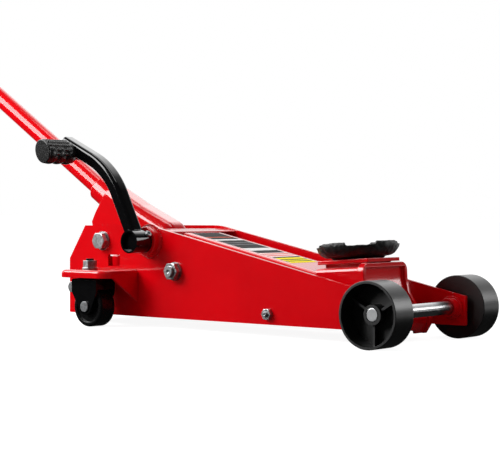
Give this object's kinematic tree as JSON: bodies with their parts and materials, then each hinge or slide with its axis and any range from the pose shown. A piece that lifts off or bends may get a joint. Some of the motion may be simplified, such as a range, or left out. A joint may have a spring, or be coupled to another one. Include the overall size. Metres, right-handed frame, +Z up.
{
  "type": "hydraulic trolley jack",
  "caption": "Low trolley jack with sloping side plates, a levelling lift arm under a round saddle, a pumping handle, a foot pedal, fixed front wheels and swivel rear casters.",
  "frame": {"origin": "on the floor under the middle of the front axle, on the jack's middle plane", "axes": "+X towards the front (saddle end), +Y to the jack's left, +Z up; the pumping handle rises to the rear"},
  "size_m": [1.5363, 0.339, 0.7629],
  "materials": {
    "red_paint": "gloss",
    "arm_paint": "gloss",
    "black_paint": "gloss",
    "unit_paint": "satin",
    "rod_paint": "satin",
    "handle_paint": "gloss",
    "zinc_plate": "zinc plated",
    "fork_black": "gloss black",
    "bare_steel": "plain",
    "chrome_steel": "polished",
    "spring_steel": "blackened",
    "saddle_iron": "painted",
    "saddle_rubber": "matt",
    "grip_rubber": "matt",
    "pedal_rubber": "matt",
    "wheel_black": "satin black",
    "caster_black": "satin black"
  },
  "bodies": {
    "frame": {"side_plate_r": "red_paint", "side_plate_l": "red_paint", "rear_cover": "red_paint", "base_plate": "red_paint", "front_axle": "bare_steel", "axle_collars": "red_paint", "caster_bracket_r": "red_paint", "caster_bracket_l": "red_paint", "pedal_boss": "red_paint", "arm_shaft": "zinc_plate", "shaft_nuts": "zinc_plate", "handle_bolt": "zinc_plate", "spring_bolts": "zinc_plate", "rod_stubs": "bare_steel", "unit_bolts": "zinc_plate", "pump_block": "unit_paint", "reservoir": "unit_paint", "hand_barrel": "red_paint", "foot_barrel": "unit_paint", "return_spring_r": "spring_steel", "return_spring_l": "spring_steel"},
    "lift_arm": {"arm_shell": "arm_paint", "arm_pivot_tube": "red_paint", "ram_pin": "bare_steel", "spring_studs": "bare_steel"},
    "carrier": {"carrier_shell": "red_paint", "carrier_front": "red_paint", "saddle_seat": "red_paint", "carrier_pin": "bare_steel", "rod_pins": "bare_steel"},
    "levelling_rods": {"levelling_rod_r": "rod_paint", "levelling_rod_l": "rod_paint", "rod_tie": "bare_steel"},
    "ram": {"ram": "chrome_steel"},
    "saddle": {"saddle": "saddle_iron", "saddle_pad": "saddle_rubber"},
    "yoke": {"yoke": "red_paint", "yoke_tube": "bare_steel", "handle_socket": "red_paint", "yoke_pins": "zinc_plate"},
    "pump_roller": {"pump_roller": "bare_steel"},
    "handle": {"handle_lower": "handle_paint", "handle_upper": "handle_paint", "handle_grip": "grip_rubber", "release_joint": "bare_steel"},
    "valve": {"valve_stem": "bare_steel"},
    "hand_plunger": {"hand_plunger": "chrome_steel"},
    "foot_plunger": {"foot_plunger": "chrome_steel"},
    "foot_pedal": {"pedal_arm": "black_paint", "pedal_grip": "pedal_rubber", "pedal_cam": "bare_steel", "pedal_screw": "zinc_plate"},
    "front_wheel_r": {"front_wheel_r": "wheel_black"},
    "front_wheel_l": {"front_wheel_l": "wheel_black"},
    "caster_r": {"caster_fork_r": "fork_black", "caster_hardware_r": "zinc_plate"},
    "caster_l": {"caster_fork_l": "fork_black", "caster_hardware_l": "zinc_plate"},
    "caster_wheel_r": {"caster_wheel_r": "caster_black"},
    "caster_wheel_l": {"caster_wheel_l": "caster_black"}
  },
  "joints": [
    {"name": "arm_lift", "type": "hinge", "parent": "frame", "child": "lift_arm", "pos_m": [-0.38304, 0, 0.08755], "axis": [0, -1, 0], "range_deg": [0, 60], "deforming": ["return_spring_r", "return_spring_l"]},
    {"name": "carrier_tilt", "type": "hinge", "parent": "lift_arm", "child": "carrier", "pos_m": [-0.0922, 0, 0.0651], "axis": [0, -1, 0], "range_deg": [-60, 0]},
    {"name": "rod_swing", "type": "hinge", "parent": "frame", "child": "levelling_rods", "pos_m": [-0.34066, 0, 0.04997], "axis": [0, -1, 0], "range_deg": [0, 60]},
    {"name": "ram_stroke", "type": "slide", "parent": "frame", "child": "ram", "axis": [1, 0, 0.0098], "range_m": [0, 0.05001]},
    {"name": "saddle_swivel", "type": "hinge", "parent": "carrier", "child": "saddle", "pos_m": [-0.10666, 0, 0.11186], "axis": [-0.083, 0, 0.9965], "continuous": true},
    {"name": "handle_pump", "type": "hinge", "parent": "frame", "child": "yoke", "pos_m": [-0.53866, 0, 0.13053], "axis": [0, 1, 0], "range_deg": [-12, 45]},
    {"name": "roller_spin", "type": "hinge", "parent": "yoke", "child": "pump_roller", "pos_m": [-0.58066, 0, 0.13012], "axis": [0, 1, 0], "continuous": true},
    {"name": "handle_twist", "type": "hinge", "parent": "yoke", "child": "handle", "pos_m": [-0.61185, 0, 0.20202], "axis": [-0.8468, 0, 0.532], "range_deg": [0, 90]},
    {"name": "valve_turn", "type": "hinge", "parent": "frame", "child": "valve", "pos_m": [-0.50561, 0, 0.10505], "axis": [-0.0098, 0, 1], "range_deg": [0, 90]},
    {"name": "hand_plunger_stroke", "type": "slide", "parent": "frame", "child": "hand_plunger", "axis": [-0.0098, 0, 1], "range_m": [-0.0082, 0.0305]},
    {"name": "pedal_press", "type": "hinge", "parent": "frame", "child": "foot_pedal", "pos_m": [-0.43607, -0.113, 0.13154], "axis": [0, -1, 0], "range_deg": [0, 35], "stiffness_Nm_per_rad": 5, "springref_deg": -25.78},
    {"name": "foot_plunger_stroke", "type": "slide", "parent": "frame", "child": "foot_plunger", "axis": [0.0098, 0, -1], "range_m": [0, 0.0253]},
    {"name": "front_wheel_spin_r", "type": "hinge", "parent": "frame", "child": "front_wheel_r", "pos_m": [0, -0.1115, 0.045], "axis": [0, 1, 0], "continuous": true},
    {"name": "front_wheel_spin_l", "type": "hinge", "parent": "frame", "child": "front_wheel_l", "pos_m": [0, 0.1115, 0.045], "axis": [0, 1, 0], "continuous": true},
    {"name": "caster_swivel_r", "type": "hinge", "parent": "frame", "child": "caster_r", "pos_m": [-0.52132, -0.129, 0.0749], "axis": [-0.0098, 0, 1], "continuous": true},
    {"name": "caster_swivel_l", "type": "hinge", "parent": "frame", "child": "caster_l", "pos_m": [-0.52132, 0.129, 0.0749], "axis": [-0.0098, 0, 1], "continuous": true},
    {"name": "caster_wheel_spin_r", "type": "hinge", "parent": "caster_r", "child": "caster_wheel_r", "pos_m": [-0.51089, -0.129, 0.031], "axis": [0, 1, 0], "continuous": true},
    {"name": "caster_wheel_spin_l", "type": "hinge", "parent": "caster_l", "child": "caster_wheel_l", "pos_m": [-0.51089, 0.129, 0.031], "axis": [0, 1, 0], "continuous": true}
  ],
  "couplings": [
    {"joint": "carrier_tilt", "follows": "arm_lift", "ratio": -1},
    {"joint": "rod_swing", "follows": "arm_lift", "ratio": 1},
    {"joint": "ram_stroke", "follows": "arm_lift", "m_per_rad": 0.047746},
    {"joint": "hand_plunger_stroke", "follows": "handle_pump", "m_per_rad": 0.0387},
    {"joint": "foot_plunger_stroke", "follows": "pedal_press", "m_per_rad": 0.0413},
    {"joint": "valve_turn", "follows": "handle_twist", "ratio": 1}
  ]
}
